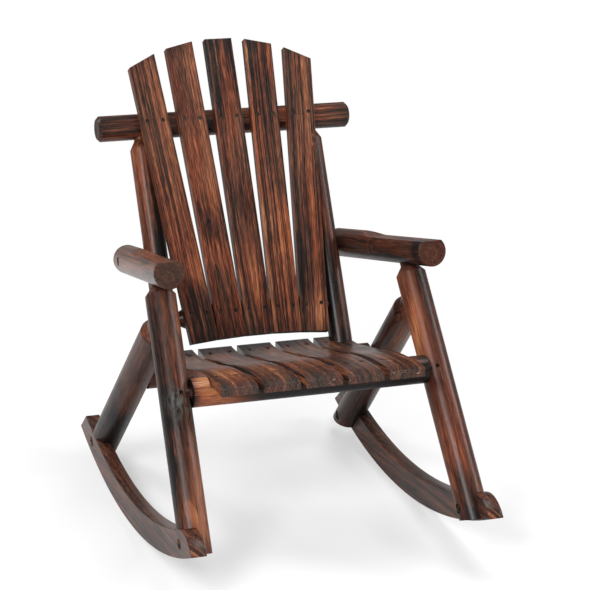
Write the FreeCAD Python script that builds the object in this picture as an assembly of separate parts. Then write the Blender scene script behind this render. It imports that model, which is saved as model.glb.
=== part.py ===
import FreeCAD, Part

import math
import os

# A rocking adirondack chair of round logs: two sawn rockers carry two A-shaped side frames,
# which hold the armrests, the seat of five curved boards and a reclined back of five
# fanned slats. Sizes are in mm, angles in degrees, densities in g/cm3.
# X runs across the chair with +X at the sitter's left, Y runs to the back and Z up. The chair
# is drawn with the centre of its rocker arcs over y = 0 and is tipped to its balance last.

V = FreeCAD.Vector

# Rockers
rocker_radius = 1190.0
rocker_height = 58.0
rocker_thickness = 32.5
rocker_nose_y = -480.0
rocker_nose_length = 69.0
rocker_tail_y = 438.0
rocker_tail_slant = 36.0

# Side frames, each in a plane that leans inward
side_x_at_floor = 306.5
side_lean = 2.82

# Front legs
front_leg_radius = 32.5
front_leg_foot_y = -392.0
front_leg_lean = 34.9
front_leg_neck = 4.0
front_leg_taper = 20.0
front_leg_tenon_radius = 17.5
front_leg_tenon_past_axis = 4.0

# Rear legs
rear_leg_radius = 33.5
rear_leg_foot_y = 332.5
rear_leg_lean = 47.6
rear_leg_neck = 12.0
rear_leg_taper = 24.0
rear_leg_neck_radius = 24.5

# Feet of all legs, half lapped over the rockers
foot_lift = 4.0
foot_reach = 70.0

# Armrests
arm_radius = 32.5
arm_front_z = 577.0
arm_rear_z = 527.0
arm_front_overhang = 136.0
arm_rear_overhang = 66.0
arm_post_bite = 2.5
arm_flat_depth = 10.0
arm_flat_to_rear_end = 213.0
arm_ramp_length = 63.0
arm_front_easing = 2.5
arm_rear_easing = 8.0

# Back. Heights named up run along the plane of the slats' front faces, from the line where
# that plane meets the level of the seat's rear end.
back_recline = 26.2
back_y = 76.9

# Slats
slat_count = 5
slat_width = 64.0
slat_thickness = 20.0
slat_fan = 2.45
slat_foot_gap = 0.6
slat_foot_up = 42.7
slat_crown_up = 730.7
slat_crown_radius = 420.0

# Rails and posts of the back
top_rail_radius = 29.0
top_rail_overhang = 96.6
top_rail_up = 546.0
top_rail_flat = 3.0
top_rail_easing = 6.0
low_rail_radius = 26.0
low_rail_up = 100.0
low_rail_flat = 2.0
low_rail_taper = 25.0
low_rail_tenon_radius = 14.0
low_rail_tenon_depth = 30.0
post_x = 200.9
post_radius = 26.0
post_taper = 22.0
post_neck = 3.0
post_tenon_radius = 14.0
post_tenon_past_axis = 4.0
post_foot_reach = 60.0

# Seat boards and their top profile as y, z points from the rear end to the front end
board_count = 5
board_width = 78.0
board_gap = 13.0
board_thickness = 17.0
seat_profile = [
    (150.0, 331.5),
    (104.0, 330.5),
    (55.0, 335.0),
    (11.0, 343.5),
    (-54.0, 355.0),
    (-108.0, 368.0),
    (-162.0, 378.5),
    (-217.0, 385.5),
    (-265.0, 389.5),
    (-303.0, 390.5),
    (-322.0, 387.0),
]

# Seat rails
front_rail_radius = 30.0
front_rail_y = -230.0
front_rail_flat = 16.0
front_rail_tenon_radius = 11.5
front_rail_tenon_depth = 36.0
rear_rail_radius = 27.0
rear_rail_flat = 6.0
rear_rail_tenon_radius = 15.0
rear_rail_tenon_depth = 30.0
rail_bite = 2.0
rail_flat_past_boards = 2.0

# Bolts, lag screws, washers and nuts
bolt_radius = 4.0
bolt_clearance = 0.25
head_across_flats = 13.0
head_height = 5.5
nut_height = 6.5
thread_past_nut = 2.0
washer_radius = 10.0
washer_thickness = 1.6
sink_radius = 11.0
rocker_bolt_sink = 10.0
arm_lag_sink = 10.0
arm_lag_length = 85.0
post_lag_sink = 8.0
post_lag_length = 110.0
brace_lag_length = 65.0
brace_lag_sink = 22.0
brace_lag_sink_radius = 8.5
brace_lag_below_apex = 74.0
brace_lag_angle = 40.0
brace_lag_turn = 25.0

# Wood screws
screw_head_radius = 4.4
screw_head_height = 2.8
screw_radius = 2.0
screw_length = 42.0
screw_sink = 0.8
screw_spacing_on_board = 44.0
screw_spacing_on_slat = 36.0
rail_pin_inset = 6.8
rail_pin_sink = 4.5
rail_pin_length = 45.0

# Densities
wood_density = 0.0006
steel_density = 0.00785

# Far enough to cut right through any piece
reach = 400.0


def sin(angle):
    return math.sin(math.radians(angle))


def cos(angle):
    return math.cos(math.radians(angle))


def tan(angle):
    return math.tan(math.radians(angle))


def heading(start, end):
    """Unit vector from start to end."""
    return V(end - start).normalize()


def placed(shape, start, direction):
    """The shape, drawn upward from the origin, moved to start and turned along direction."""
    shape.Placement = FreeCAD.Placement(start, FreeCAD.Rotation(V(0, 0, 1), direction))
    return shape


def mirrored(shape):
    """The same piece on the other side of the chair."""
    return shape.mirror(V(0, 0, 0), V(1, 0, 0))


def turned(start, direction, profile):
    """Solid of revolution about the line from start along direction. The profile lists
    distance along the line and radius, from one end to the other."""
    first = profile[0][0]
    last = profile[-1][0]
    outline = [V(0, 0, first)]
    outline += [V(radius, 0, distance) for distance, radius in profile]
    outline += [V(0, 0, last), V(0, 0, first)]
    solid = Part.Face(Part.makePolygon(outline)).revolve(V(0, 0, 0), V(0, 0, 1), 360)
    return placed(solid, start, direction)


def rod(start, direction, length, radius):
    """Plain round bar."""
    return turned(start, direction, [(0, radius), (length, radius)])


def log(start, end, radius, start_tip=None, end_tip=None):
    """Round log between two points. A tip lists distance from its own end and radius."""
    length = (end - start).Length
    profile = list(start_tip or [(0, radius)])
    profile += [(length - distance, size) for distance, size in reversed(end_tip or [(0, radius)])]
    return turned(start, heading(start, end), profile)


def hex_prism(start, direction, across_flats, height):
    """Hexagonal bar for bolt heads and nuts."""
    corner = across_flats / 2 / cos(30)
    outline = [V(corner * cos(60 * turn), corner * sin(60 * turn), 0) for turn in range(7)]
    return placed(Part.Face(Part.makePolygon(outline)).extrude(V(0, 0, height)), start, direction)


def distance_to_surface(radius, direction, axis):
    """Distance along direction from a log's axis to its surface."""
    return radius / direction.cross(axis).Length


# Rocker arcs

def rocker_z(y, radius):
    """Height of a rocker arc at y."""
    return rocker_radius - math.sqrt(radius ** 2 - y ** 2)


top_edge_radius = rocker_radius - rocker_height
mid_rocker_radius = rocker_radius - rocker_height / 2


def rocker_drum(radius):
    """Drum inside a rocker arc, across the whole chair."""
    return rod(V(-reach, 0, rocker_radius), V(1, 0, 0), 2 * reach, radius)


# Lines and joints of the side frame at +X

def side_point(y, z):
    """Point in the side frame's plane."""
    return V(side_x_at_floor - z * tan(side_lean), y, z)


front_foot = side_point(front_leg_foot_y, rocker_z(front_leg_foot_y, mid_rocker_radius))
rear_foot = side_point(rear_leg_foot_y, rocker_z(rear_leg_foot_y, mid_rocker_radius))
rocker_inner_x = front_foot.x


def front_leg_point(z):
    """Point at height z on the front leg's axis."""
    return side_point(front_foot.y + (z - front_foot.z) * tan(front_leg_lean), z)


def rear_leg_point(z):
    """Point at height z on the rear leg's axis."""
    return side_point(rear_foot.y - (z - rear_foot.z) * tan(rear_leg_lean), z)


closing = tan(front_leg_lean) + tan(rear_leg_lean)
apex_z = (
    rear_foot.y - front_foot.y + front_foot.z * tan(front_leg_lean) + rear_foot.z * tan(rear_leg_lean)
) / closing
apex = front_leg_point(apex_z)
front_leg_axis = heading(front_foot, apex)
rear_leg_axis = heading(rear_foot, apex)


# Lines and joints of the back

back_z = seat_profile[0][1]


def back_point(x, up, behind):
    """Point of the back, up along the slats and behind their front faces."""
    y = back_y + up * sin(back_recline) + behind * cos(back_recline)
    z = back_z + up * cos(back_recline) - behind * sin(back_recline)
    return V(x, y, z)


back_up = V(0, sin(back_recline), cos(back_recline))
back_normal = V(0, cos(back_recline), -sin(back_recline))
rail_behind = slat_thickness + top_rail_radius - top_rail_flat


def post_point(z):
    """Point at height z on the +X post's axis."""
    return back_point(post_x, (z - back_z + rail_behind * sin(back_recline)) / cos(back_recline), rail_behind)


arm_at_leg = front_leg_point(arm_front_z)
arm_at_post = post_point(arm_rear_z) + V(post_radius + arm_radius - arm_post_bite, 0, 0)
arm_axis = heading(arm_at_post, arm_at_leg)
arm_side = arm_axis.cross(V(0, 0, 1)).normalize()
arm_up = arm_side.cross(arm_axis)


# Profile of the seat

def seat_curve(drop):
    """Smooth curve along the boards, lowered by drop from their tops."""
    curve = Part.BSplineCurve()
    curve.interpolate([V(0, y, z - drop) for y, z in seat_profile])
    return curve.toShape()


seat_top = seat_curve(0)
seat_underside = seat_curve(board_thickness)


def height_on(edge, y):
    """Height of a seat curve at y."""
    plumb = Part.makeLine(V(0, y, 0), V(0, y, 4 * back_z))
    return edge.distToShape(plumb)[1][0][0].z


def band(edge, shift, half_width):
    """Solid across the chair between a seat curve and the same curve moved up or down."""
    face = edge.extrude(V(0, 0, shift))
    return face.extrude(V(2 * half_width, 0, 0)).translate(V(-half_width, 0, 0))


post_foot = post_point(seat_profile[0][1])
rear_rail_z = height_on(seat_underside, post_foot.y) - rear_rail_radius + rear_rail_flat
rear_rail_y = post_point(rear_rail_z).y
front_rail_z = height_on(seat_underside, front_rail_y) - front_rail_radius + front_rail_flat


# Fasteners. Each takes a seat, the point on its axis where its head's bearing face lies, and
# the direction in which it is driven. Each also gives the solid to take out of the wood.

def washer(seat, direction):
    """Flat washer that rises from the seat, against the direction of driving."""
    ring = rod(seat, -direction, washer_thickness, washer_radius)
    return ring.cut(rod(seat, -direction, washer_thickness, bolt_radius + bolt_clearance))


def headed_bar(seat, direction, length, lift):
    """Hex head, lifted off the seat by its washer, with its shank."""
    head = hex_prism(seat - direction * lift, -direction, head_across_flats, head_height)
    return head.fuse(rod(seat - direction * lift, direction, length + lift, bolt_radius)).removeSplitter()


def lag_hole(seat, direction, length, mouth_radius):
    """Counterbore from the seat outward and a hole for the shank."""
    mouth = rod(seat, -direction, reach, mouth_radius)
    return mouth.fuse(rod(seat, direction, length, bolt_radius))


def through_hole(seat, far_seat):
    """Counterbores at both ends of a clearance hole."""
    direction = heading(seat, far_seat)
    hole = rod(seat, direction, (far_seat - seat).Length, bolt_radius + bolt_clearance)
    hole = hole.fuse(rod(seat, -direction, reach, sink_radius))
    return hole.fuse(rod(far_seat, direction, reach / 4, sink_radius))


def nut(seat, direction):
    """Hex nut with its bearing face on the seat, which rises along direction."""
    block = hex_prism(seat, direction, head_across_flats, nut_height)
    return block.cut(rod(seat, direction, nut_height, bolt_radius))


def wood_screw(surface, direction, sink=screw_sink, length=screw_length):
    """Countersunk screw, sunk a little below the surface point."""
    seat = surface + direction * sink
    profile = [(0, screw_head_radius), (screw_head_height, screw_radius), (length, screw_radius)]
    return turned(seat, direction, profile)


def wood_screw_hole(surface, direction, sink=screw_sink, length=screw_length):
    """Room for a screw and for sinking its head."""
    mouth = rod(surface + direction * sink, -direction, sink + screw_head_radius, screw_head_radius)
    return wood_screw(surface, direction, sink, length).fuse(mouth)


def group(solids):
    """Separate solids in one node."""
    return Part.makeCompound(solids)


def with_mirrored(solids):
    """The solids and their twins at the other side of the chair."""
    return group(solids + [mirrored(solid) for solid in solids])


# Rockers

def make_rocker():
    """Arc-shaped plank with a rounded nose and a slanted tail."""
    def arc_point(radius, angle):
        return V(rocker_inner_x, radius * sin(angle), rocker_radius - radius * cos(angle))

    nose = math.degrees(math.asin(rocker_nose_y / rocker_radius))
    nose_start = nose + math.degrees(rocker_nose_length / top_edge_radius)
    tail = math.degrees(math.asin(rocker_tail_y / rocker_radius))
    tail_top = tail - math.degrees(rocker_tail_slant / top_edge_radius)
    tip = arc_point(rocker_radius, nose)
    shoulder = arc_point(top_edge_radius, nose_start)
    outward = V(0, sin(nose_start), -cos(nose_start))
    across = tip - shoulder
    nose_radius = across.Length ** 2 / 2 / across.dot(outward)
    nose_centre = shoulder + outward * nose_radius
    middle = nose_centre + heading(nose_centre, (tip + shoulder) / 2) * nose_radius
    lower_tail = arc_point(rocker_radius, tail)
    upper_tail = arc_point(top_edge_radius, tail_top)
    edges = [
        Part.Arc(tip, arc_point(rocker_radius, (nose + tail) / 2), lower_tail).toShape(),
        Part.makeLine(lower_tail, upper_tail),
        Part.Arc(upper_tail, arc_point(top_edge_radius, (nose_start + tail_top) / 2), shoulder).toShape(),
        Part.Arc(shoulder, middle, tip).toShape(),
    ]
    return Part.Face(Part.Wire(edges)).extrude(V(rocker_thickness, 0, 0))


# Legs

def lapped_over_rocker(leg):
    """Leg whose outer half stands on the rocker while its inner half runs down beside it."""
    outside = Part.makeBox(reach, 4 * reach, 2 * reach, V(rocker_inner_x, -2 * reach, -reach))
    leg = leg.cut(outside.cut(rocker_drum(top_edge_radius)))
    return leg.common(rocker_drum(rocker_radius - foot_lift))


def make_front_leg():
    """Log from the rocker to the armrest, with a pencil top and a round tenon."""
    neck = distance_to_surface(arm_radius, front_leg_axis, arm_axis) + front_leg_neck
    tenon = front_leg_tenon_past_axis + neck
    tip = [
        (0, front_leg_tenon_radius),
        (tenon, front_leg_tenon_radius),
        (tenon + front_leg_taper, front_leg_radius),
    ]
    start = front_foot - front_leg_axis * foot_reach
    end = arm_at_leg + front_leg_axis * front_leg_tenon_past_axis
    return lapped_over_rocker(log(start, end, front_leg_radius, end_tip=tip))


def make_rear_leg(front_leg):
    """Log from the rocker to the back of the front leg, coped to it."""
    neck = distance_to_surface(front_leg_radius, rear_leg_axis, front_leg_axis) + rear_leg_neck
    tip = [
        (0, rear_leg_neck_radius),
        (neck, rear_leg_neck_radius),
        (neck + rear_leg_taper, rear_leg_radius),
    ]
    start = rear_foot - rear_leg_axis * foot_reach
    return lapped_over_rocker(log(start, apex, rear_leg_radius, end_tip=tip).cut(front_leg))


# Rails of the seat

def seat_rail(leg, shoulder_x, y, z, radius, tenon_radius, tenon_depth):
    """Log across the chair, flat under the boards, coped to the legs, with a round tenon in each."""
    body = log(V(-shoulder_x, y, z), V(shoulder_x, y, z), radius)
    flat_end = board_count * (board_width + board_gap) / 2 - board_gap / 2 + rail_flat_past_boards
    body = body.cut([leg, mirrored(leg), band(seat_underside, reach, flat_end)])
    end_x = shoulder_x + tenon_depth
    return body.fuse(log(V(-end_x, y, z), V(end_x, y, z), tenon_radius)).removeSplitter()


# Armrests

arm_front_end = arm_at_leg + arm_axis * arm_front_overhang
arm_rear_end = arm_at_post - arm_axis * arm_rear_overhang


def arm_flat_cutter():
    """Block over the armrest that leaves the flat and the ramp behind it."""
    length = (arm_front_end - arm_rear_end).Length
    flat_end = arm_flat_to_rear_end
    ramp_end = flat_end - arm_ramp_length
    flat_height = arm_radius - arm_flat_depth
    outline = [
        (ramp_end, arm_radius),
        (flat_end, flat_height),
        (length + arm_radius, flat_height),
        (length + arm_radius, 2 * arm_radius),
        (ramp_end, 2 * arm_radius),
        (ramp_end, arm_radius),
    ]
    corner = arm_rear_end - arm_side * 2 * arm_radius
    points = [corner + arm_axis * along + arm_up * height for along, height in outline]
    return Part.Face(Part.makePolygon(points)).extrude(arm_side * 4 * arm_radius)


def make_arm():
    """Log with eased ends and a planed flat from its front end."""
    rear_tip = [(0, arm_radius - arm_rear_easing), (arm_rear_easing, arm_radius)]
    front_tip = [(0, arm_radius - arm_front_easing), (arm_front_easing, arm_radius)]
    arm = log(arm_rear_end, arm_front_end, arm_radius, rear_tip, front_tip)
    return arm.cut(arm_flat_cutter())


# Back

def make_post():
    """Log that stands on the seat, with a pencil top and a round tenon in the top rail."""
    neck = top_rail_radius + post_neck
    tenon = post_tenon_past_axis + neck
    tip = [(0, post_tenon_radius), (tenon, post_tenon_radius), (tenon + post_taper, post_radius)]
    start = post_foot - back_up * post_foot_reach
    end = back_point(post_x, top_rail_up + post_tenon_past_axis, rail_behind)
    return log(start, end, post_radius, end_tip=tip)


def below_seat_top():
    """Everything under the seat's top, which goes on level behind the boards."""
    rear_y, rear_z = seat_profile[0]
    behind = Part.makeBox(2 * reach, reach, reach, V(-reach, rear_y, rear_z - reach))
    return band(seat_top, -reach, reach).fuse(behind)


def slat_space():
    """Everything in front of the plane of the slats' back faces."""
    corner = back_point(-reach, -2 * reach, slat_thickness)
    points = [
        corner,
        corner + V(2 * reach, 0, 0),
        corner + V(2 * reach, 0, 0) + back_up * 4 * reach,
        corner + back_up * 4 * reach,
        corner,
    ]
    return Part.Face(Part.makePolygon(points)).extrude(-back_normal * reach)


def make_top_rail():
    """Log across the posts' tops, flattened where the slats lie against it."""
    tip = [(0, top_rail_radius - top_rail_easing), (top_rail_easing, top_rail_radius)]
    end_x = post_x + top_rail_overhang
    start = back_point(-end_x, top_rail_up, rail_behind)
    end = back_point(end_x, top_rail_up, rail_behind)
    return log(start, end, top_rail_radius, tip, tip).cut(slat_space())


def make_low_rail():
    """Log between the posts behind the slats' feet, tapered to round tenons."""
    behind = slat_thickness + low_rail_radius - low_rail_flat
    end_x = post_x - post_radius + low_rail_tenon_depth
    tip = [
        (0, low_rail_tenon_radius),
        (low_rail_tenon_depth, low_rail_tenon_radius),
        (low_rail_tenon_depth + low_rail_taper, low_rail_radius),
    ]
    start = back_point(-end_x, low_rail_up, behind)
    end = back_point(end_x, low_rail_up, behind)
    return log(start, end, low_rail_radius, tip, tip).cut(slat_space())


def slat_feet():
    """For each slat from the middle outward: its angle and the corner where its foot starts.
    Corner and angle hold for the +X side."""
    corner = (slat_width / 2, slat_foot_up)
    feet = []
    for step in range(1, slat_count // 2 + 1):
        angle = slat_fan * step
        start = (corner[0] + slat_foot_gap, corner[1])
        corner = (start[0] + slat_width * cos(angle), start[1] - slat_width * sin(angle))
        feet.append((angle, start, corner))
    return feet


def up_to_crown(corner, angle):
    """Where a slat's edge, rising from corner at the angle, meets the arch of the crown."""
    centre_up = slat_crown_up - slat_crown_radius
    rise_x, rise_up = sin(angle), cos(angle)
    off_x, off_up = corner[0], corner[1] - centre_up
    along = off_x * rise_x + off_up * rise_up
    length = -along + math.sqrt(along ** 2 - off_x ** 2 - off_up ** 2 + slat_crown_radius ** 2)
    return (corner[0] + length * rise_x, corner[1] + length * rise_up)


def make_slat(inner, outer, angle):
    """Board between two foot corners, cut straight across its top from arch to arch."""
    outline = [inner, outer, up_to_crown(outer, angle), up_to_crown(inner, angle if inner[0] > 0 else -angle)]
    points = [back_point(x, up, 0) for x, up in outline + [inner]]
    return Part.Face(Part.makePolygon(points)).extrude(back_normal * slat_thickness)


def slat_line_x(inner, outer, angle, up):
    """Middle of a slat at the height of a rail."""
    middle_x = (inner[0] + outer[0]) / 2
    middle_up = (inner[1] + outer[1]) / 2
    return middle_x + (up - middle_up) * tan(angle)


# Seat boards

def board_centre(index):
    """X of a board's middle, counted from 0 at -X."""
    return (index - (board_count - 1) / 2) * (board_width + board_gap)


def make_board(index):
    """Curved board."""
    face = seat_top.extrude(V(0, 0, -board_thickness))
    board = face.extrude(V(board_width, 0, 0))
    return board.translate(V(board_centre(index) - board_width / 2, 0, 0))


# Build of the pieces, joint by joint

pieces = {}
metal = set()


def add_metal(name, shape):
    pieces[name] = shape
    metal.add(name)


def add_pair(name, shape):
    """A piece at +X, the sitter's left, and its twin."""
    pieces["left_" + name] = shape
    pieces["right_" + name] = mirrored(shape)


# Wood

rocker = make_rocker()
front_leg = make_front_leg()
rear_leg = make_rear_leg(front_leg)
front_rail = seat_rail(
    front_leg, front_leg_point(front_rail_z).x - front_leg_radius + rail_bite,
    front_rail_y, front_rail_z, front_rail_radius, front_rail_tenon_radius, front_rail_tenon_depth)
rear_rail = seat_rail(
    rear_leg, rear_leg_point(rear_rail_z).x - rear_leg_radius + rail_bite,
    rear_rail_y, rear_rail_z, rear_rail_radius, rear_rail_tenon_radius, rear_rail_tenon_depth)
low_rail = make_low_rail()
post = make_post()
arm = make_arm().cut([front_leg, post])
top_rail = make_top_rail().cut([post, mirrored(post)])
post = post.cut([below_seat_top(), low_rail])
front_leg = front_leg.cut(front_rail)
rear_leg = rear_leg.cut(rear_rail)
boards = [make_board(index) for index in range(board_count)]


# Bolts through rockers and legs

inward = V(-1, 0, 0)
rocker_bolts = []
rocker_washers = []
rocker_nuts = []
rocker_holes = []
for foot, leg_radius in [(front_foot, front_leg_radius), (rear_foot, rear_leg_radius)]:
    seat = V(rocker_inner_x + rocker_thickness - rocker_bolt_sink, foot.y, foot.z)
    far_seat = V(foot.x - leg_radius + rocker_bolt_sink, foot.y, foot.z)
    grip = (far_seat - seat).Length
    bar_length = grip + washer_thickness + nut_height + thread_past_nut
    rocker_bolts.append(headed_bar(seat, inward, bar_length, washer_thickness))
    rocker_washers += [washer(seat, inward), washer(far_seat, -inward)]
    rocker_nuts.append(nut(far_seat + inward * washer_thickness, inward))
    rocker_holes.append(through_hole(seat, far_seat))
rocker = rocker.cut(rocker_holes)
front_leg = front_leg.cut(rocker_holes)
rear_leg = rear_leg.cut(rocker_holes)


# Lag screws

def lag(name, seat, direction, length):
    """Lag screw on a washer with its twin at the other side. Gives the hole for it."""
    add_metal(name + "_lag_screws", with_mirrored([headed_bar(seat, direction, length, washer_thickness)]))
    add_metal(name + "_lag_washers", with_mirrored([washer(seat, direction)]))
    return lag_hole(seat, direction, length, sink_radius)


seat = arm_at_post - arm_side * (arm_radius - arm_lag_sink)
hole = lag("arm", seat, arm_side, arm_lag_length)
arm = arm.cut(hole)
post = post.cut(hole)

seat = post_point(rear_rail_z) - back_up * (rear_rail_radius - post_lag_sink)
hole = lag("post", seat, back_up, post_lag_length)
rear_rail = rear_rail.cut([hole, mirrored(hole)])
boards = [board.cut([hole, mirrored(hole)]) for board in boards]
post = post.cut(hole)

inner_side = (inward - rear_leg_axis * inward.dot(rear_leg_axis)).normalize()
front_side = rear_leg_axis.cross(inner_side)
radial = inner_side * cos(brace_lag_turn) + front_side * sin(brace_lag_turn)
direction = rear_leg_axis * cos(brace_lag_angle) - radial * sin(brace_lag_angle)
mouth = apex - rear_leg_axis * brace_lag_below_apex + radial * rear_leg_radius
seat = mouth + direction * brace_lag_sink
add_metal("leg_brace_lag_screws", with_mirrored([headed_bar(seat, direction, brace_lag_length, 0)]))
hole = lag_hole(seat, direction, brace_lag_length, brace_lag_sink_radius)
front_leg = front_leg.cut(hole)
rear_leg = rear_leg.cut(hole)


# Screws that pin the front rail's tenons in the front legs

leg_at_rail = front_leg_point(front_rail_z)
pin_direction = (V(0, 1, 0) - front_leg_axis * front_leg_axis.y).normalize()
crossing = V(leg_at_rail.x - rail_pin_inset, front_rail_y, front_rail_z)
to_axis = (leg_at_rail - crossing).dot(pin_direction)
to_surface = math.sqrt(front_leg_radius ** 2 - rail_pin_inset ** 2) - to_axis
surface = crossing - pin_direction * to_surface
pin = wood_screw(surface, pin_direction, rail_pin_sink, rail_pin_length)
add_metal("rail_pin_screws", with_mirrored([pin]))
hole = wood_screw_hole(surface, pin_direction, rail_pin_sink, rail_pin_length)
front_leg = front_leg.cut(hole)
front_rail = front_rail.cut([hole, mirrored(hole)])


# Screws of the seat

down = V(0, 0, -1)
seat_screws = []
seat_holes = []
for index in range(board_count):
    for side in (-1, 1):
        x = board_centre(index) + side * screw_spacing_on_board / 2
        under_post = abs(x) > post_x - post_radius
        for y in [front_rail_y] if under_post else [front_rail_y, rear_rail_y]:
            surface = V(x, y, height_on(seat_top, y))
            seat_screws.append(wood_screw(surface, down))
            seat_holes.append(wood_screw_hole(surface, down))
boards = [board.cut(seat_holes) for board in boards]
front_rail = front_rail.cut(seat_holes)
rear_rail = rear_rail.cut(seat_holes)


# Slats and their screws

slat_screws = []
slat_holes = []
slats = []
half_width = slat_width / 2
foot_lines = [((-half_width, slat_foot_up), (half_width, slat_foot_up), 0)]
foot_lines += [(inner, outer, angle) for angle, inner, outer in slat_feet()]
for inner, outer, angle in foot_lines:
    for up in (low_rail_up, top_rail_up):
        for side in (-1, 1):
            x = slat_line_x(inner, outer, angle, up) + side * screw_spacing_on_slat / 2
            for twin in ([1] if angle == 0 else [1, -1]):
                slat_screws.append(wood_screw(back_point(twin * x, up, 0), back_normal))
                slat_holes.append(wood_screw_hole(back_point(twin * x, up, 0), back_normal))
top_rail = top_rail.cut(slat_holes)
low_rail = low_rail.cut(slat_holes)
post = post.cut(slat_holes)
outward_slats = [make_slat(*line).cut(slat_holes) for line in foot_lines]
slats = [mirrored(slat) for slat in reversed(outward_slats[1:])] + outward_slats


# Nodes

add_pair("rocker", rocker)
add_pair("front_leg", front_leg)
add_pair("rear_leg", rear_leg)
add_pair("armrest", arm)
add_pair("back_post", post)
pieces["top_rail"] = top_rail
pieces["lower_back_rail"] = low_rail
pieces["seat_front_rail"] = front_rail
pieces["seat_rear_rail"] = rear_rail
for index, board in enumerate(boards):
    pieces["seat_board_%d" % (index + 1)] = board
for index, slat in enumerate(slats):
    pieces["back_slat_%d" % (index + 1)] = slat
add_metal("rocker_bolts", with_mirrored(rocker_bolts))
add_metal("rocker_bolt_washers", with_mirrored(rocker_washers))
add_metal("rocker_bolt_nuts", with_mirrored(rocker_nuts))
add_metal("seat_screws", group(seat_screws))
add_metal("slat_screws", group(slat_screws))


# Balance. The chair rolls on its arcs until its mass centre stands over the floor contact.

total = 0
moment = V(0, 0, 0)
for name, shape in pieces.items():
    density = steel_density if name in metal else wood_density
    for solid in shape.Solids:
        total += solid.Volume * density
        moment += solid.CenterOfMass * (solid.Volume * density)
mass_centre = moment / total
arc_centre = V(0, 0, rocker_radius)
tip_angle = -math.degrees(math.atan2(mass_centre.y, rocker_radius - mass_centre.z))
for shape in pieces.values():
    shape.rotate(arc_centre, V(1, 0, 0), tip_angle)
bounds = Part.makeCompound(list(pieces.values())).optimalBoundingBox()
middle_y = (bounds.YMin + bounds.YMax) / 2

os.makedirs("parts", exist_ok=True)
for name, shape in pieces.items():
    shape.translate(V(0, -middle_y, 0))
    shape.exportStep("parts/%s.step" % name)

print("mass g", round(total), "tipped", round(tip_angle, 3), "shifted", round(-middle_y, 2))
print("box", bounds.XLength, bounds.YLength, bounds.ZLength, bounds.ZMin)
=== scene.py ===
"""The looks of the rocking Adirondack chair: scorched, varnished fir logs and boards, bolted with steel.

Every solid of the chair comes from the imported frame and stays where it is. This script gives each one its
wood or steel, eases the sawn edges, and sets up the floor, the lamps and the camera.
"""

import math
from types import SimpleNamespace

import bpy
import numpy as np
from mathutils import Matrix, Quaternion, Vector

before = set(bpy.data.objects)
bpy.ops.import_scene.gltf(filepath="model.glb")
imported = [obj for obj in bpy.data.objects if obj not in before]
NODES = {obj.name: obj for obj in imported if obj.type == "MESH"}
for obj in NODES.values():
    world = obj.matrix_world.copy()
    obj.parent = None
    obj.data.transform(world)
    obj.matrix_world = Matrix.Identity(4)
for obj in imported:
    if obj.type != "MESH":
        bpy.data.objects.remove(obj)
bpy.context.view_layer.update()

# Sizes in metres, angles in degrees, lamps in watts, colours as linear red, green and blue.

CAMERA_PLACE = Vector((-1.40703, -4.05592, 1.95280))
CAMERA_AIM = Vector((0.04709, 0.02721, 0.48025))
CAMERA_ROLL = 1.394
CAMERA_LENS = 128.6
CAMERA_SENSOR = 36.0

FLOOR_REACH = 16.0
FLOOR_COLOUR = (0.80, 0.80, 0.805, 1.0)
# How white the camera sees the floor under the chair, and how far out the floor turns all white.
FLOOR_GLOW = 0.48
FLOOR_CLEAR = (0.60, 1.4)

# Each lamp's place, width and power.
LAMPS = {
    "key": ((-3.0, -3.2, 3.3), 1.6, 215.0),
    "back": ((-2.2, 2.0, 2.8), 1.2, 55.0),
    "top": ((0.7, 0.0, 3.0), 1.5, 50.0),
    "side": ((3.6, -1.0, 2.4), 1.2, 60.0),
}
SKY_LIGHT = 0.36
WHITE = (1.0, 1.0, 1.0, 1.0)

# Words in the names of the steel pieces and of the sawn pieces.
FASTENERS = ("screws", "bolts", "nuts", "washers")
SAWN = ("slat_", "board_", "rocker")

# The width of an eased edge, the angle from which an edge is eased, and how near points are one point.
EASED_EDGE = 0.0016
SHARP_EDGE = 35.0
ONE_POINT = 0.00001


class Value:
    """One output of a node. Python's own operators on it add Math nodes."""

    def __init__(self, nodes, socket):
        self.nodes = nodes
        self.socket = socket

    def __add__(self, other):
        return self.nodes.maths("ADD", self, other)

    def __radd__(self, other):
        return self.nodes.maths("ADD", other, self)

    def __sub__(self, other):
        return self.nodes.maths("SUBTRACT", self, other)

    def __rsub__(self, other):
        return self.nodes.maths("SUBTRACT", other, self)

    def __mul__(self, other):
        return self.nodes.maths("MULTIPLY", self, other)

    def __rmul__(self, other):
        return self.nodes.maths("MULTIPLY", other, self)

    def __pow__(self, other):
        return self.nodes.maths("POWER", self, other)

    def __abs__(self):
        return self.nodes.maths("ABSOLUTE", self)


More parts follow.
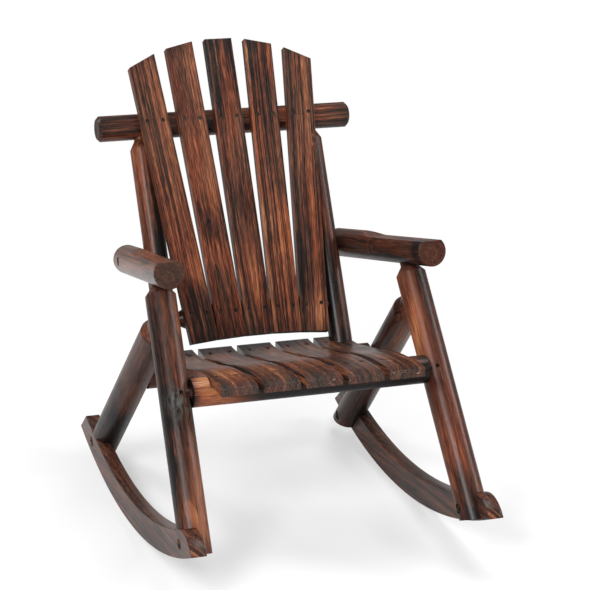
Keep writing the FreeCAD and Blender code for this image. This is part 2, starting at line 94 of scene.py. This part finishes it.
class Nodes:
    """The nodes of a material or of the world."""

    def __init__(self, owner):
        owner.use_nodes = True
        self.owner = owner
        self.tree = owner.node_tree
        self.tree.nodes.clear()

    def node(self, kind, settings, inputs, out=0):
        """Adds a node, gives it its settings, then its sockets' values or links, and returns one output."""
        made = self.tree.nodes.new("ShaderNode" + kind)
        for key, setting in settings.items():
            if key == "stops":
                set_stops(made.color_ramp, setting)
            else:
                setattr(made, key, setting)
        for key, given in inputs.items():
            if isinstance(given, Value):
                self.tree.links.new(given.socket, made.inputs[key])
            else:
                made.inputs[key].default_value = given
        return Value(self, made.outputs[out])

    def maths(self, operation, *values):
        """A number worked out from one or two others."""
        return self.node("Math", {"operation": operation}, dict(enumerate(values)))

    def vectors(self, operation, *values, out=0):
        """A vector worked out from others, or with out set to Value, a number."""
        return self.node("VectorMath", {"operation": operation}, dict(enumerate(values)), out)

    def step(self, value, low, high, start=0.0, end=1.0):
        """A soft step: start at and below low, end at and above high."""
        inputs = {"Value": value, "From Min": low, "From Max": high, "To Min": start, "To Max": end}
        return self.node("MapRange", {"interpolation_type": "SMOOTHSTEP"}, inputs)

    def stretched(self, spot, scale, shift):
        """A place multiplied by scale and then moved by shift."""
        return self.vectors("ADD", self.vectors("MULTIPLY", spot, scale), shift)

    def noise(self, spot, scale, shift, detail, out="Fac"):
        """Cloudy noise with scale cycles per metre. Its value is about one half, give or take a quarter."""
        place = self.stretched(spot, scale, shift)
        inputs = {"Vector": place, "Scale": 1.0, "Detail": detail, "Roughness": 0.55}
        return self.node("TexNoise", {}, inputs, out)

    def noise_along(self, count):
        """Noise over one number."""
        inputs = {"W": count, "Scale": 1.0, "Detail": 1.0}
        return self.node("TexNoise", {"noise_dimensions": "1D"}, inputs)

    def mix(self, share, first, second):
        """The first colour where share is 0 and the second where it is 1."""
        return self.node("Mix", {"data_type": "RGBA"}, {0: share, 6: first, 7: second}, out=2)

    def close(self, kind, shader):
        """Joins the shader to the output of a Material or World, and returns what the nodes belong to."""
        end = self.tree.nodes.new("ShaderNodeOutput" + kind)
        self.tree.links.new(shader.socket, end.inputs["Surface"])
        return self.owner


def set_stops(ramp, stops):
    """Gives a ramp its stops, each a place from 0 to 1 and a colour."""
    while len(ramp.elements) < len(stops):
        ramp.elements.new(1.0)
    for element, (place, colour) in zip(ramp.elements, stops):
        element.position = place
        element.color = (*colour, 1.0)


def points_of(piece):
    """The points of a piece's mesh, one row each."""
    points = np.empty(len(piece.data.vertices) * 3)
    piece.data.vertices.foreach_get("co", points)
    return points.reshape(-1, 3)


class Grain:
    """Where a piece's grain runs: its middle, half sizes and three directions, across, through and along."""

    def __init__(self, piece):
        points = points_of(piece)
        corners = np.empty(len(piece.data.loops), int)
        piece.data.loops.foreach_get("vertex_index", corners)
        triangles = points[corners.reshape(-1, 3)]
        edges = np.cross(triangles[:, 1] - triangles[:, 0], triangles[:, 2] - triangles[:, 0])
        areas = np.linalg.norm(edges, axis=1)
        middles = triangles.mean(axis=1)
        middle = (middles * areas[:, None]).sum(axis=0) / areas.sum()
        spread = ((middles - middle) * areas[:, None]).T @ (middles - middle)
        along = np.linalg.eigh(spread)[1][:, -1]
        along = along * np.sign(along[np.argmax(abs(along))])
        runs_across_the_chair = abs(along[0]) > 0.7
        side = np.array((0.0, 1.0, 0.0)) if runs_across_the_chair else np.array((1.0, 0.0, 0.0))
        across = side - along * (side @ along)
        across = across / np.linalg.norm(across)
        self.axes = np.stack((across, np.cross(along, across), along), axis=1)
        reach = (points - middle) @ self.axes
        low = reach.min(axis=0)
        high = reach.max(axis=0)
        self.half = (high - low) / 2
        self.middle = middle + self.axes @ ((high + low) / 2)
        self.turn = Matrix(self.axes.tolist()).to_euler()

    def metres(self, shares):
        """Three shares of the half sizes as metres."""
        return tuple(float(v) for v in np.array(shares) * self.half)


# The colours of the wood from charred to golden, where it is red and where it is brown.
RED_STOPS = (
    (0.00, (0.007, 0.005, 0.005)),
    (0.12, (0.017, 0.009, 0.007)),
    (0.30, (0.048, 0.015, 0.0085)),
    (0.50, (0.099, 0.028, 0.015)),
    (0.75, (0.222, 0.064, 0.027)),
    (1.00, (0.385, 0.140, 0.056)),
)
BROWN_STOPS = (
    (0.00, (0.008, 0.007, 0.007)),
    (0.12, (0.019, 0.013, 0.010)),
    (0.30, (0.044, 0.021, 0.014)),
    (0.50, (0.088, 0.036, 0.022)),
    (0.75, (0.190, 0.071, 0.035)),
    (1.00, (0.365, 0.175, 0.078)),
)
CHIPPED = (0.27, 0.19, 0.13, 1.0)
# The grey of a speckled patch of painted sheen.
PAINTED_SHEEN = (0.085, 0.088, 0.078, 1.0)

# The patterns in the wood, in cycles per metre across, through and along the grain.
DRIFT = (7.0, 7.0, 1.6)
FIBRES = (520.0, 520.0, 38.0)
STREAKS = (150.0, 150.0, 5.0)
PORES = (330.0, 330.0, 9.0)
CLOUDS = (11.0, 11.0, 3.2)
BROWN_CLOUDS = (16.0, 16.0, 4.0)
END_GRAIN = (210.0, 210.0, 210.0)
SPECKLES = (210.0, 210.0, 60.0)
SPLINTERS = (85.0, 150.0, 300.0)

# How the rings, pores and knots show, and how far the scorched and chipped ends reach.
RING_GROUPS = 0.45
RING_UNEVENNESS = 1.6
LATE_WOOD_SHARPNESS = 3.5
PORE_DARKNESS = 0.18
KNOT_SWELL = 0.006
KNOT_DARKNESS = 0.28
SCORCHED_END = 0.045
CHIPPED_END = 0.011

# The last change to all tones, then the surface.
CONTRAST = 1.18
DARKENING = 0.10
VARNISH_ROUGHNESS = 0.27
WOOD_SHINE = 0.08
WOOD_RELIEF = 0.0011

# As wide as a piece and more, in shares of its half size.
WHOLE = 3.0

# Painted shade in the hole of each rocker bolt: the hole's radius, then how dark the shade is.
BOLT_HOLE = 0.014
BOLT_HOLE_SHADE = 0.8

# Stained steel: its patterns in cycles per metre and its two colours.
STAINS = (90.0, 90.0, 90.0)
SCRATCHES = (900.0, 900.0, 260.0)
STEEL_RELIEF = 0.0003
STAINED = (0.010, 0.008, 0.006, 1.0)
CLEAN = (0.040, 0.029, 0.022, 1.0)


def zone(across, along, half_width, half_length, change):
    """A patch right through a piece, in shares of its half sizes, and the strength of its change."""
    return (across, 0.0, along), (half_width, WHOLE, half_length), change


class Fir(Nodes):
    """Scorched and varnished fir on one piece.

    Tones run from 0, charred, to 1, golden. These are the words of a look:
    tone is the piece's own tone, and seed moves all its patterns.
    rings is the number of growth rings per metre round a pith, the tree's centre, whose place is in metres
    across and through the piece. wander is how far the rings stray.
    band is how far the tone swings between groups of rings, and line how dark each ring's late wood is.
    fibre, streak and char are the strengths of fine fibres, long streaks and burnt clouds.
    scorch darkens the wood near its ends. end_tone and side_tone change its end faces and narrow sides, and
    end_rings is the strength of the rings on end faces.
    brown is the share of brown among red, gloss the weight of varnish, lumps the height of a slow swell.
    chips is the strength of pale broken fibres along the front end.
    zones are patches of another tone, some of them painted shade, shadow or sheen; knot is a dark knot; and
    a pale speckled patch of painted sheen may be laid on as well.
    """

    def __init__(self, name, grain, look):
        super().__init__(bpy.data.materials.new(name))
        self.grain = grain
        self.look = look
        self.shift = (look.seed, look.seed * 1.7, look.seed * 0.6)
        self.spot = self.node("TexCoord", {}, {}, out="Object")
        inputs = {"Vector": self.spot, "Location": tuple(grain.middle), "Rotation": tuple(grain.turn)}
        self.local = self.node("Mapping", {"vector_type": "TEXTURE"}, inputs)
        self.along = self.node("SeparateXYZ", {}, {0: self.local}, out="Z")
        self.end_face = self.facing(2, 0.50, 0.75)
        self.fine = self.noise(self.local, FIBRES, self.shift, 2.0) - 0.5
        self.streaks = self.noise(self.local, STREAKS, self.shift, 3.0) - 0.5
        self.clouds = self.noise(self.local, CLOUDS, self.shift, 3.0)
        self.burnt = self.step(self.clouds, 0.50, 0.68)
        self.ragged = self.fine * 0.5 + self.streaks * 0.9
        if look.knot:
            place, half = look.knot
            self.from_knot = self.away(grain.metres(place), half)
        self.count_rings()

    def facing(self, axis, low, high):
        """1 on the faces that are turned along one of the piece's own directions, and 0 elsewhere."""
        normal = self.node("TexCoord", {}, {}, out="Normal")
        turned = self.vectors("DOT_PRODUCT", normal, tuple(self.grain.axes[:, axis]), out="Value")
        return self.step(abs(turned), low, high)

    def away(self, place, half):
        """The distance from a place in the piece, which is 1 on the surface of an oval of the half sizes."""
        inputs = {"Vector": self.local, "Location": place, "Scale": half}
        inside = self.node("Mapping", {"vector_type": "TEXTURE"}, inputs)
        return self.vectors("LENGTH", inside, out="Value")

    def patch(self, place, half):
        """1 inside a ragged oval, whose place and size are in shares of the half sizes, and 0 outside it."""
        away = self.away(self.grain.metres(place), self.grain.metres(half))
        return self.step(away + self.ragged, 0.30, 1.25, 1.0, 0.0)

    def count_rings(self):
        """Sets the swing between groups of rings, from -0.5 to 0.5, and late, which is 1 in late wood.

        Rings are counted by the distance from a pith that wanders along the piece. They part round a knot.
        """
        look = self.look
        drift = self.noise(self.local, DRIFT, self.shift, 2.0, out="Color")
        drift = self.vectors("SUBTRACT", drift, (0.5, 0.5, 0.5))
        strayed = self.vectors("MULTIPLY_ADD", drift, (look.wander * 4, look.wander * 4, 0.0), self.local)
        centred = self.stretched(strayed, (1.0, 1.0, 0.0), (-look.pith[0], -look.pith[1], 0.0))
        radius = self.vectors("LENGTH", centred, out="Value")
        if look.knot:
            radius = radius + self.step(self.from_knot, 0.6, 3.2, 1.0, 0.0) * KNOT_SWELL
        count = radius * look.rings + look.seed
        count = count + self.noise_along(count * 0.6) * RING_UNEVENNESS
        self.swing = self.step(self.noise_along(count * RING_GROUPS), 0.30, 0.70, -0.5, 0.5)
        self.late = self.maths("FRACT", count) ** LATE_WOOD_SHARPNESS

    def tone(self):
        """The tone of the wood everywhere on the piece."""
        look = self.look
        pores = self.step(self.noise(self.local, PORES, (look.seed, 0.0, look.seed), 1.0), 0.56, 0.70)
        run = self.fine * (look.fibre * 1.9) + self.streaks * (look.streak * 1.8) - pores * PORE_DARKNESS
        rings = self.swing * look.band - self.late * look.line
        torn = self.noise(self.local, END_GRAIN, self.shift, 3.0) - 0.5
        end = float(self.grain.half[2])
        near_end = self.step(abs(self.along), end - SCORCHED_END, end + 0.01)
        tone = look.tone + run * (1.0 - self.end_face * 0.7)
        tone = tone + rings * (1.0 + self.end_face * (look.end_rings - 1.0))
        tone = tone + torn * self.end_face * 0.6
        tone = tone - self.burnt * look.char - near_end * look.scorch
        tone = tone + self.end_face * look.end_tone + self.facing(0, 0.6, 0.9) * look.side_tone
        for place, half, change in look.zones:
            tone = tone + self.patch(place, half) * change
        if look.knot:
            tone = tone - self.step(self.from_knot, 0.7, 1.15, 1.0, 0.0) * KNOT_DARKNESS
        return tone * CONTRAST - DARKENING

    def colour(self):
        """The colour of the wood everywhere on the piece."""
        look = self.look
        tone = self.tone()
        dull = self.noise(self.local, BROWN_CLOUDS, (look.seed * 0.3, look.seed, 0.0), 2.0)
        dull = self.step(dull + self.streaks * 0.4, 0.36, 0.66, look.brown - 0.5, look.brown + 0.5)
        red = self.node("ValToRGB", {"stops": RED_STOPS}, {"Fac": tone})
        brown = self.node("ValToRGB", {"stops": BROWN_STOPS}, {"Fac": tone})
        colour = self.mix(dull, red, brown)
        if look.chips:
            front_end = -float(self.grain.half[2])
            front = self.step(self.along, front_end, front_end + CHIPPED_END, 1.0, 0.0)
            broken = self.noise(self.spot, SPLINTERS, self.shift, 2.0)
            chipped = self.step(broken * 0.7 + front * 0.5, 0.92, 0.99) * look.chips
            colour = self.mix(chipped, colour, CHIPPED)
        # A pale grey speckled patch laid on the colour: painted sheen.
        if look.bloom:
            place, half, share = look.bloom
            speckles = self.step(self.noise(self.local, SPECKLES, self.shift, 3.0), 0.42, 0.62)
            colour = self.mix(self.patch(place, half) * speckles * share, colour, PAINTED_SHEEN)
        return colour

    def finished(self):
        """The finished material."""
        look = self.look
        height = self.fine * 0.9 + self.late * 0.6 + self.streaks * 0.8 + self.clouds * look.lumps
        bump = self.node("Bump", {}, {"Strength": 0.55, "Distance": WOOD_RELIEF, "Height": height})
        shader = self.node("BsdfPrincipled", {}, {
            "Base Color": self.colour(),
            "Roughness": 0.40 + self.fine * 0.35 + self.burnt * 0.06 + self.end_face * 0.2,
            "Normal": bump,
            "Coat Weight": look.gloss,
            "Coat Roughness": VARNISH_ROUGHNESS,
            "Specular IOR Level": WOOD_SHINE})
        return self.close("Material", shader)


# The looks of the families of pieces, and then of each piece.
PLAIN = dict(end_tone=-0.1, side_tone=0.0, scorch=0.15, pith=(0.0, 0.0), chips=0.0, lumps=0.6, gloss=0.12,
             end_rings=0.3, zones=(), knot=None, bloom=None)
LOG = dict(PLAIN, tone=0.48, band=0.28, line=0.12, streak=0.36, fibre=0.34, gloss=0.2, char=0.36,
           rings=170.0, wander=0.010, lumps=3.0, brown=0.25)
SLAT = dict(PLAIN, tone=0.52, band=0.26, line=0.40, streak=0.42, fibre=0.5, char=0.16,
            rings=170.0, wander=0.005, side_tone=0.05, brown=0.35)
BOARD = dict(PLAIN, tone=0.545, band=0.28, line=0.60, streak=0.32, fibre=0.5, gloss=0.5, char=0.22,
             rings=150.0, wander=0.004, side_tone=0.12, end_tone=0.04, end_rings=0.7)
ROCKER = dict(PLAIN, pith=(-0.05, 0.02), tone=0.43, band=0.2, line=0.14, streak=0.22, fibre=0.5, gloss=0.25,
              char=0.12, rings=270.0, wander=0.003, scorch=0.05, end_tone=0.16, end_rings=3.0, brown=0.75)

LOOKS = {
    "back_slat_1": dict(SLAT, seed=1.3, pith=(0.090, -0.030), tone=0.53, brown=0.25, zones=(
        zone(-0.6, 0.75, 0.5, 0.35, -0.12),
        zone(0.2, -0.80, 1.6, 0.25, -0.16),
        zone(0.3, -0.52, 0.7, 0.12, 0.14),
        zone(0.5, 0.55, 0.5, 0.3, 0.08))),
    "back_slat_2": dict(SLAT, seed=4.1, pith=(-0.010, -0.060), band=0.18, line=0.22, tone=0.56, brown=0.30,
                        knot=((-0.2, 1.0, -0.22), (0.004, 1.0, 0.005)), zones=(
        zone(0.1, 0.62, 0.9, 0.30, -0.14),
        zone(0.0, -0.24, 1.3, 0.17, -0.24),
        zone(0.5, -0.70, 0.6, 0.28, 0.06),
        zone(0.5, 0.02, 0.5, 0.2, 0.08),
        zone(0.0, -0.75, 2.0, 0.40, -0.05))),
    "back_slat_3": dict(SLAT, seed=7.9, pith=(0.004, -0.035), rings=210.0, band=0.30, tone=0.44,
                        brown=0.5, zones=(
        zone(-0.7, 0.75, 0.8, 0.40, -0.24),
        zone(0.7, 0.85, 0.5, 0.3, -0.20),
        zone(0.2, 0.50, 0.25, 0.3, 0.12),
        zone(0.0, -0.10, 1.0, 0.2, -0.10),
        zone(0.1, -0.62, 0.4, 0.30, 0.18))),
    "back_slat_4": dict(SLAT, seed=11.2, pith=(-0.065, -0.028), rings=130.0, band=0.30, line=0.75,
                        streak=0.3, tone=0.57, brown=0.4, zones=(
        zone(0.0, 0.80, 1.4, 0.40, -0.20),
        zone(0.0, -0.35, 1.2, 0.35, 0.06))),
    "back_slat_5": dict(SLAT, seed=15.6, pith=(0.060, -0.045), rings=130.0, band=0.30, line=0.50,
                        streak=0.34, tone=0.54, knot=((0.80, 1.0, 0.34), (0.005, 1.0, 0.008)), zones=(
        zone(0.4, -0.85, 0.8, 0.22, 0.22),
        zone(-0.6, -0.40, 0.5, 0.5, -0.02))),
    # On each seat board the second zone lightens the rear part: painted sheen.
    "seat_board_1": dict(BOARD, seed=21.0, pith=(0.16, -0.02), chips=0.4, brown=0.8, zones=(
        zone(0.1, -0.50, 1.2, 0.35, 0.26),
        zone(0.0, 0.75, 2.0, 0.4, 0.08))),
    "seat_board_2": dict(BOARD, seed=25.3, pith=(-0.13, -0.03), chips=0.5, brown=0.75, zones=(
        zone(0.3, -0.55, 1.2, 0.30, 0.16),
        zone(0.0, 0.75, 2.0, 0.4, 0.10))),
    "seat_board_3": dict(BOARD, seed=28.8, pith=(0.12, -0.04), chips=0.9, brown=0.75, zones=(
        zone(-0.3, -0.50, 1.2, 0.30, 0.12),
        zone(0.0, 0.75, 2.0, 0.4, 0.07))),
    "seat_board_4": dict(BOARD, seed=33.1, pith=(0.15, -0.03), chips=0.8, brown=0.7, zones=(
        zone(0.0, -0.60, 1.5, 0.40, -0.04),
        zone(0.0, 0.75, 2.0, 0.4, 0.03))),
    "seat_board_5": dict(BOARD, seed=37.4, pith=(-0.12, -0.04), chips=1.0, brown=0.8, zones=(
        zone(0.2, -0.55, 1.2, 0.30, 0.06),
        zone(0.0, 0.70, 2.0, 0.4, 0.05))),
    # The front rail's end faces are dark: charred end grain and painted shade. Its second zone darkens the
    # −X end next to the leg, char and painted shade; its third darkens the +X end as painted shadow.
    "seat_front_rail": dict(LOG, seed=41.0, tone=0.34, scorch=0.0, end_tone=-0.75, brown=0.15, zones=(
        zone(0.0, -0.72, WHOLE, 0.30, 0.50),
        zone(0.0, -1.0, WHOLE, 0.145, -1.1),
        zone(0.0, 0.96, WHOLE, 0.16, -0.5))),
    "seat_rear_rail": dict(LOG, seed=42.2, tone=0.36, end_tone=-0.3),
    "left_front_leg": dict(LOG, seed=44.7, pith=(0.004, 0.003), tone=0.47, brown=0.10, zones=(
        zone(-1.0, 0.50, 0.9, 0.55, 0.46),
        zone(0.6, 0.60, 0.9, 0.4, -0.08),
        zone(-0.6, -0.55, 0.8, 0.4, 0.14),
        zone(0.8, -0.60, 0.6, 0.2, -0.14))),
    # The pale grey speckled patch at mid-height of this leg is painted sheen.
    "right_front_leg": dict(LOG, seed=47.2, pith=(-0.003, 0.005), brown=0.2,
                            bloom=zone(0.2, 0.02, 1.0, 0.14, 0.8), zones=(
        zone(-0.9, 0.20, 0.7, 0.7, -0.22),
        zone(0.0, -0.02, 1.6, 0.20, -0.18),
        zone(0.6, -0.70, 1.0, 0.4, 0.26),
        zone(-0.6, -0.45, 0.7, 0.3, -0.18))),
    "left_rear_leg": dict(LOG, seed=49.0, pith=(0.004, -0.004), tone=0.42, brown=0.3),
    "right_rear_leg": dict(LOG, seed=50.3, pith=(-0.004, -0.003), tone=0.44, brown=0.3, zones=(
        zone(0.2, 0.10, 1.2, 0.35, 0.12),
        zone(0.0, -0.50, 1.5, 0.35, -0.18))),
    "left_back_post": dict(LOG, seed=57.1, pith=(0.003, 0.004), tone=0.44, brown=0.1, zones=(
        zone(-0.8, 0.0, 0.8, 1.2, -0.20),)),
    # Its zone darkens the post's +X half, away from the key lamp: painted shade.
    "right_back_post": dict(LOG, seed=58.9, pith=(-0.004, 0.002), tone=0.54, brown=0.3, zones=(
        zone(0.45, -0.2, 0.9, 1.2, -0.40),)),
    "top_rail": dict(LOG, seed=61.4, pith=(0.002, -0.006), tone=0.43, streak=0.8, band=0.34, end_tone=-0.05,
                     zones=(zone(0.0, 0.95, WHOLE, 0.40, -0.12),)),
    "lower_back_rail": dict(LOG, seed=63.0, tone=0.36),
    "left_armrest": dict(LOG, seed=51.9, pith=(0.003, -0.004), end_tone=0.04, brown=0.0,
                         knot=((-1.0, 0.2, 0.0), (0.006, 1.0, 0.006)),
                         zones=(zone(0.0, -0.90, WHOLE, 0.06, -0.25),)),
    "right_armrest": dict(LOG, seed=55.0, pith=(-0.005, 0.002), tone=0.50, end_tone=0.0, brown=0.8,
                          gloss=0.35),
    "left_rocker": dict(ROCKER, seed=36.1),
    "right_rocker": dict(ROCKER, seed=67.1),
}


def bolt_hole_shade(grain):
    """Patches of painted shade: dark rounds where the two bolts pass through one rocker."""
    points = points_of(NODES["rocker_bolts"])
    points = points[points[:, 0] * grain.middle[0] > 0.0]
    for bolt in (points[points[:, 1] < 0.0], points[points[:, 1] >= 0.0]):
        middle = (bolt.max(axis=0) + bolt.min(axis=0)) / 2
        place = ((middle - grain.middle) @ grain.axes) / grain.half
        half = BOLT_HOLE / grain.half
        half[0] = WHOLE
        yield tuple(place), tuple(half), -BOLT_HOLE_SHADE


def fir(node, piece):
    """The wood of one piece."""
    grain = Grain(piece)
    look = SimpleNamespace(**LOOKS[node])
    # A rocker's zones are only the painted shade round its bolts.
    if "rocker" in node:
        look.zones = tuple(bolt_hole_shade(grain))
    return Fir("fir_" + node, grain, look).finished()


def steel(node):
    """The dull dark steel of one kind of fastener, stained and a little scratched."""
    nodes = Nodes(bpy.data.materials.new("steel_" + node))
    spot = nodes.node("TexCoord", {}, {}, out="Object")
    stains = nodes.noise(spot, STAINS, (0.0, 0.0, 0.0), 3.0)
    scratches = nodes.noise(spot, SCRATCHES, (3.0, 1.0, 2.0), 2.0)
    colour = nodes.mix(nodes.step(stains, 0.35, 0.65), STAINED, CLEAN)
    bump = nodes.node("Bump", {}, {"Strength": 0.3, "Distance": STEEL_RELIEF, "Height": scratches})
    shader = nodes.node("BsdfPrincipled", {}, {
        "Base Color": colour,
        "Roughness": 0.52 + stains * 0.30 + scratches * 0.10,
        "Normal": bump,
        "Metallic": 0.4,
        "Specular IOR Level": 0.15})
    return nodes.close("Material", shader)


def ease(piece):
    """Rounds a sawn piece's arrises: close points are joined, then every sharp edge gets a small round."""
    weld = piece.modifiers.new("joined", "WELD")
    weld.merge_threshold = ONE_POINT
    bevel = piece.modifiers.new("eased", "BEVEL")
    bevel.width = EASED_EDGE
    bevel.segments = 2
    bevel.limit_method = "ANGLE"
    bevel.angle_limit = math.radians(SHARP_EDGE)
    bevel.harden_normals = True


def dress(node, piece):
    """Gives a piece its wood or steel, and eases its edges where it was sawn."""
    fastener = any(word in node for word in FASTENERS)
    if not fastener and any(word in node for word in SAWN):
        ease(piece)
    piece.data.materials.clear()
    piece.data.materials.append(steel(node) if fastener else fir(node, piece))


def make_floor():
    """A flat square of floor. It keeps the chair's shadow, and further out the camera sees it white."""
    mesh = bpy.data.meshes.new("floor")
    corners = [(-FLOOR_REACH, -FLOOR_REACH, 0.0), (FLOOR_REACH, -FLOOR_REACH, 0.0),
               (FLOOR_REACH, FLOOR_REACH, 0.0), (-FLOOR_REACH, FLOOR_REACH, 0.0)]
    mesh.from_pydata(corners, [], [(0, 1, 2, 3)])
    floor = bpy.data.objects.new("floor", mesh)
    bpy.context.scene.collection.objects.link(floor)
    nodes = Nodes(bpy.data.materials.new("floor"))
    matt = nodes.node("BsdfDiffuse", {}, {"Color": FLOOR_COLOUR})
    glow = nodes.node("Emission", {}, {"Color": WHITE, "Strength": 1.0})
    seen = nodes.node("LightPath", {}, {}, out="Is Camera Ray")
    spot = nodes.node("TexCoord", {}, {}, out="Object")
    share = nodes.step(nodes.vectors("LENGTH", spot, out="Value"), *FLOOR_CLEAR, FLOOR_GLOW, 1.0)
    shader = nodes.node("MixShader", {}, {0: seen * share, 1: matt, 2: glow})
    floor.data.materials.append(nodes.close("Material", shader))


def make_sky():
    """Even light from all round, which the camera sees as white."""
    nodes = Nodes(bpy.data.worlds.new("studio"))
    seen = nodes.node("LightPath", {}, {}, out="Is Camera Ray")
    strength = nodes.node("MapRange", {}, {"Value": seen, "To Min": SKY_LIGHT, "To Max": 1.0})
    sky = nodes.node("Background", {}, {"Color": WHITE, "Strength": strength})
    bpy.context.scene.world = nodes.close("World", sky)


def make_lamp(name, place, width, power):
    """A square soft box aimed at the chair's middle."""
    data = bpy.data.lights.new(name, "AREA")
    data.shape = "SQUARE"
    data.size = width
    data.energy = power
    lamp = bpy.data.objects.new(name, data)
    bpy.context.scene.collection.objects.link(lamp)
    lamp.location = place
    lamp.rotation_euler = (CAMERA_AIM - Vector(place)).to_track_quat("-Z", "Y").to_euler()


def make_camera():
    """The camera, on the sitter's right and above the seat, with a long lens."""
    data = bpy.data.cameras.new("camera")
    data.lens = CAMERA_LENS
    data.sensor_width = CAMERA_SENSOR
    camera = bpy.data.objects.new("camera", data)
    bpy.context.scene.collection.objects.link(camera)
    level = (CAMERA_AIM - CAMERA_PLACE).to_track_quat("-Z", "Y")
    roll = Quaternion((0.0, 0.0, 1.0), math.radians(CAMERA_ROLL))
    camera.location = CAMERA_PLACE
    camera.rotation_euler = (level @ roll).to_euler()
    bpy.context.scene.camera = camera


for node, piece in NODES.items():
    dress(node, piece)
make_floor()
make_sky()
for name, (place, width, power) in LAMPS.items():
    make_lamp(name, place, width, power)
make_camera()
bpy.context.scene.view_settings.view_transform = "Standard"
